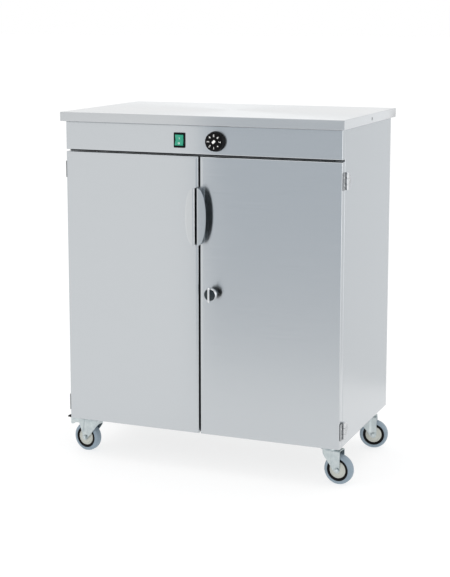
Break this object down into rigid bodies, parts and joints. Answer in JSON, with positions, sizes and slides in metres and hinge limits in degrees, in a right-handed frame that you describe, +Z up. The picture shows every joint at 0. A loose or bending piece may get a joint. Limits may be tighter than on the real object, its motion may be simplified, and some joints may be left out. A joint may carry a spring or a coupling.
{
  "type": "heated proofing cabinet",
  "caption": "Mobile heated stainless cabinet with twin hinged doors, half-moon grips, a control fascia, chamber shelves and swivel casters.",
  "frame": {"origin": "on the floor, under the middle of the whole cabinet with its brake pedals and door handles; the middle of the worktop is 10 mm right of it and 10.5 mm behind it", "axes": "+Z up, the doors face -Y, +X to the right as seen from the front"},
  "size_m": [0.7955, 0.476, 0.9045],
  "materials": {
    "brushed_steel": "fine satin brushed stainless steel",
    "inner_steel": "plain mill-finish stainless steel",
    "rack_chrome": "bright plated wire and rail",
    "zinc": "bright zinc-plated pressed steel",
    "black_plastic": "black moulded plastic",
    "green_plastic": "translucent green moulded plastic",
    "gasket": "black silicone seal",
    "grey_rubber": "blue-grey non-marking rubber",
    "dark_chrome": "polished chrome",
    "heater_sheath": "dull heat-tinted steel sheath"
  },
  "bodies": {
    "cabinet": {"worktop": "brushed_steel", "left_side_panel": "brushed_steel", "right_side_panel": "brushed_steel", "back_panel": "brushed_steel", "base_pan": "brushed_steel", "control_fascia": "brushed_steel", "liner_left": "inner_steel", "liner_right": "inner_steel", "liner_back": "inner_steel", "liner_ceiling": "inner_steel", "thermostat": "zinc", "switch_bezel": "black_plastic", "cable_gland": "black_plastic", "heating_element": "heater_sheath", "heater_guard": "inner_steel", "water_pan": "inner_steel", "rack_left": "rack_chrome", "rack_right": "rack_chrome", "lower_shelf": "rack_chrome", "middle_shelf": "rack_chrome", "upper_shelf": "rack_chrome", "magnet_catch": "black_plastic", "left_upper_hinge_body_leaf": "zinc", "left_lower_hinge_body_leaf": "zinc", "right_upper_hinge_body_leaf": "zinc", "right_lower_hinge_body_leaf": "zinc", "front_left_caster_plate": "zinc", "front_right_caster_plate": "zinc", "rear_left_caster_plate": "zinc", "rear_right_caster_plate": "zinc"},
    "left_door": {"left_door_skin": "brushed_steel", "left_door_liner": "inner_steel", "left_door_gasket": "gasket", "left_door_handle": "brushed_steel", "left_upper_hinge_door_leaf": "zinc", "left_lower_hinge_door_leaf": "zinc"},
    "right_door": {"right_door_skin": "brushed_steel", "right_door_liner": "inner_steel", "right_door_gasket": "gasket", "right_door_handle": "brushed_steel", "right_upper_hinge_door_leaf": "zinc", "right_lower_hinge_door_leaf": "zinc"},
    "lock": {"lock_knob": "dark_chrome", "lock_cam": "zinc"},
    "dial": {"dial_knob": "black_plastic"},
    "rocker": {"rocker_switch": "green_plastic"},
    "front_left_fork": {"front_left_caster_fork": "zinc"},
    "front_left_wheel": {"front_left_tyre": "grey_rubber", "front_left_wheel_centre": "black_plastic"},
    "front_left_pedal": {"front_left_brake_pedal": "zinc"},
    "front_right_fork": {"front_right_caster_fork": "zinc"},
    "front_right_wheel": {"front_right_tyre": "grey_rubber", "front_right_wheel_centre": "black_plastic"},
    "rear_left_fork": {"rear_left_caster_fork": "zinc"},
    "rear_left_wheel": {"rear_left_tyre": "grey_rubber", "rear_left_wheel_centre": "black_plastic"},
    "rear_left_pedal": {"rear_left_brake_pedal": "zinc"},
    "rear_right_fork": {"rear_right_caster_fork": "zinc"},
    "rear_right_wheel": {"rear_right_tyre": "grey_rubber", "rear_right_wheel_centre": "black_plastic"}
  },
  "joints": [
    {"name": "left_door_swing", "type": "hinge", "parent": "cabinet", "child": "left_door", "pos_m": [-0.3615, -0.18, 0.455], "axis": [0, 0, -1], "range_deg": [0, 180]},
    {"name": "right_door_swing", "type": "hinge", "parent": "cabinet", "child": "right_door", "pos_m": [0.3815, -0.18, 0.455], "axis": [0, 0, 1], "range_deg": [0, 180]},
    {"name": "lock_turn", "type": "hinge", "parent": "right_door", "child": "lock", "pos_m": [0.049, -0.202, 0.467], "axis": [0, -1, 0], "range_deg": [0, 90]},
    {"name": "dial_turn", "type": "hinge", "parent": "cabinet", "child": "dial", "pos_m": [0.055, -0.202, 0.8425], "axis": [0, 1, 0], "range_deg": [-135, 180]},
    {"name": "rocker_tilt", "type": "hinge", "parent": "cabinet", "child": "rocker", "pos_m": [-0.0415, -0.202, 0.8425], "axis": [1, 0, 0], "range_deg": [0, 10]},
    {"name": "front_left_swivel", "type": "hinge", "parent": "cabinet", "child": "front_left_fork", "pos_m": [-0.314, -0.142, 0.09], "axis": [0, 0, 1], "continuous": true},
    {"name": "front_left_roll", "type": "hinge", "parent": "front_left_fork", "child": "front_left_wheel", "pos_m": [-0.33968, -0.13793, 0.0375], "axis": [-0.1564, -0.9877, 0], "continuous": true},
    {"name": "front_left_brake_press", "type": "hinge", "parent": "front_left_fork", "child": "front_left_pedal", "pos_m": [-0.35351, -0.13574, 0.083], "axis": [-0.1564, -0.9877, 0], "range_deg": [0, 14]},
    {"name": "front_right_swivel", "type": "hinge", "parent": "cabinet", "child": "front_right_fork", "pos_m": [0.334, -0.142, 0.09], "axis": [0, 0, 1], "continuous": true},
    {"name": "front_right_roll", "type": "hinge", "parent": "front_right_fork", "child": "front_right_wheel", "pos_m": [0.35978, -0.14539, 0.0375], "axis": [0.1305, 0.9914, 0], "continuous": true},
    {"name": "rear_left_swivel", "type": "hinge", "parent": "cabinet", "child": "rear_left_fork", "pos_m": [-0.314, 0.162, 0.09], "axis": [0, 0, 1], "continuous": true},
    {"name": "rear_left_roll", "type": "hinge", "parent": "rear_left_fork", "child": "rear_left_wheel", "pos_m": [-0.33986, 0.15928, 0.0375], "axis": [0.1045, -0.9945, 0], "continuous": true},
    {"name": "rear_left_brake_press", "type": "hinge", "parent": "rear_left_fork", "child": "rear_left_pedal", "pos_m": [-0.35378, 0.15782, 0.083], "axis": [0.1045, -0.9945, 0], "range_deg": [0, 14]},
    {"name": "rear_right_swivel", "type": "hinge", "parent": "cabinet", "child": "rear_right_fork", "pos_m": [0.334, 0.162, 0.09], "axis": [0, 0, 1], "continuous": true},
    {"name": "rear_right_roll", "type": "hinge", "parent": "rear_right_fork", "child": "rear_right_wheel", "pos_m": [0.35952, 0.16696, 0.0375], "axis": [-0.1908, 0.9816, 0], "continuous": true}
  ]
}
